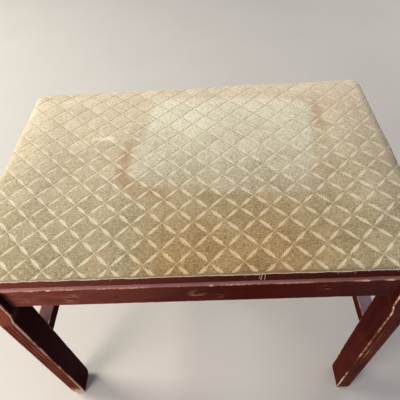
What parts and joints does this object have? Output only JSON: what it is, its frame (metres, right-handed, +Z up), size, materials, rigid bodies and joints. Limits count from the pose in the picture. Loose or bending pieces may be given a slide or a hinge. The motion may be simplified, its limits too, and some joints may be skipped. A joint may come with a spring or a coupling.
{
  "type": "upholstered bench",
  "caption": "Low rectangular bench with a thin padded cloth seat on flat fluted wooden legs, aprons and side stretchers, for sitting at a dressing table.",
  "frame": {"origin": "on the floor, under the middle of the seat", "axes": "+X along the bench's length, -Y towards its front, +Z up"},
  "size_m": [0.5606, 0.392, 0.4329],
  "materials": {
    "mahogany": "worn satin varnish",
    "stained_board": "dark stain, dull",
    "pale_wood": "bare, sanded",
    "felt": "matted fibre",
    "velour": "short pile with a woven diamond lattice",
    "steel": "dull"
  },
  "bodies": {
    "root": {"leg_front_left": "mahogany", "leg_front_right": "mahogany", "leg_rear_left": "mahogany", "leg_rear_right": "mahogany", "front_apron": "mahogany", "rear_apron": "mahogany", "left_side_rail": "mahogany", "right_side_rail": "mahogany", "left_stretcher": "mahogany", "right_stretcher": "mahogany", "corner_block_front_left": "pale_wood", "corner_block_front_right": "pale_wood", "corner_block_rear_left": "pale_wood", "corner_block_rear_right": "pale_wood", "seat_board": "stained_board", "seat_padding": "felt", "seat_cover": "velour", "dowel_apron_front_left_lower": "pale_wood", "dowel_apron_front_left_upper": "pale_wood", "dowel_apron_front_right_lower": "pale_wood", "dowel_apron_front_right_upper": "pale_wood", "dowel_apron_rear_left_lower": "pale_wood", "dowel_apron_rear_left_upper": "pale_wood", "dowel_apron_rear_right_lower": "pale_wood", "dowel_apron_rear_right_upper": "pale_wood", "dowel_rail_front_left_lower": "pale_wood", "dowel_rail_front_left_upper": "pale_wood", "dowel_rail_front_right_lower": "pale_wood", "dowel_rail_front_right_upper": "pale_wood", "dowel_rail_rear_left_lower": "pale_wood", "dowel_rail_rear_left_upper": "pale_wood", "dowel_rail_rear_right_lower": "pale_wood", "dowel_rail_rear_right_upper": "pale_wood", "dowel_stretcher_front_left": "pale_wood", "dowel_stretcher_front_right": "pale_wood", "dowel_stretcher_rear_left": "pale_wood", "dowel_stretcher_rear_right": "pale_wood", "screw_apron_front_left": "steel", "screw_apron_front_right": "steel", "screw_apron_rear_left": "steel", "screw_apron_rear_right": "steel", "screw_rail_front_left": "steel", "screw_rail_front_right": "steel", "screw_rail_rear_left": "steel", "screw_rail_rear_right": "steel", "screw_seat_front_left": "steel", "screw_seat_front_right": "steel", "screw_seat_rear_left": "steel", "screw_seat_rear_right": "steel"}
  },
  "joints": []
}
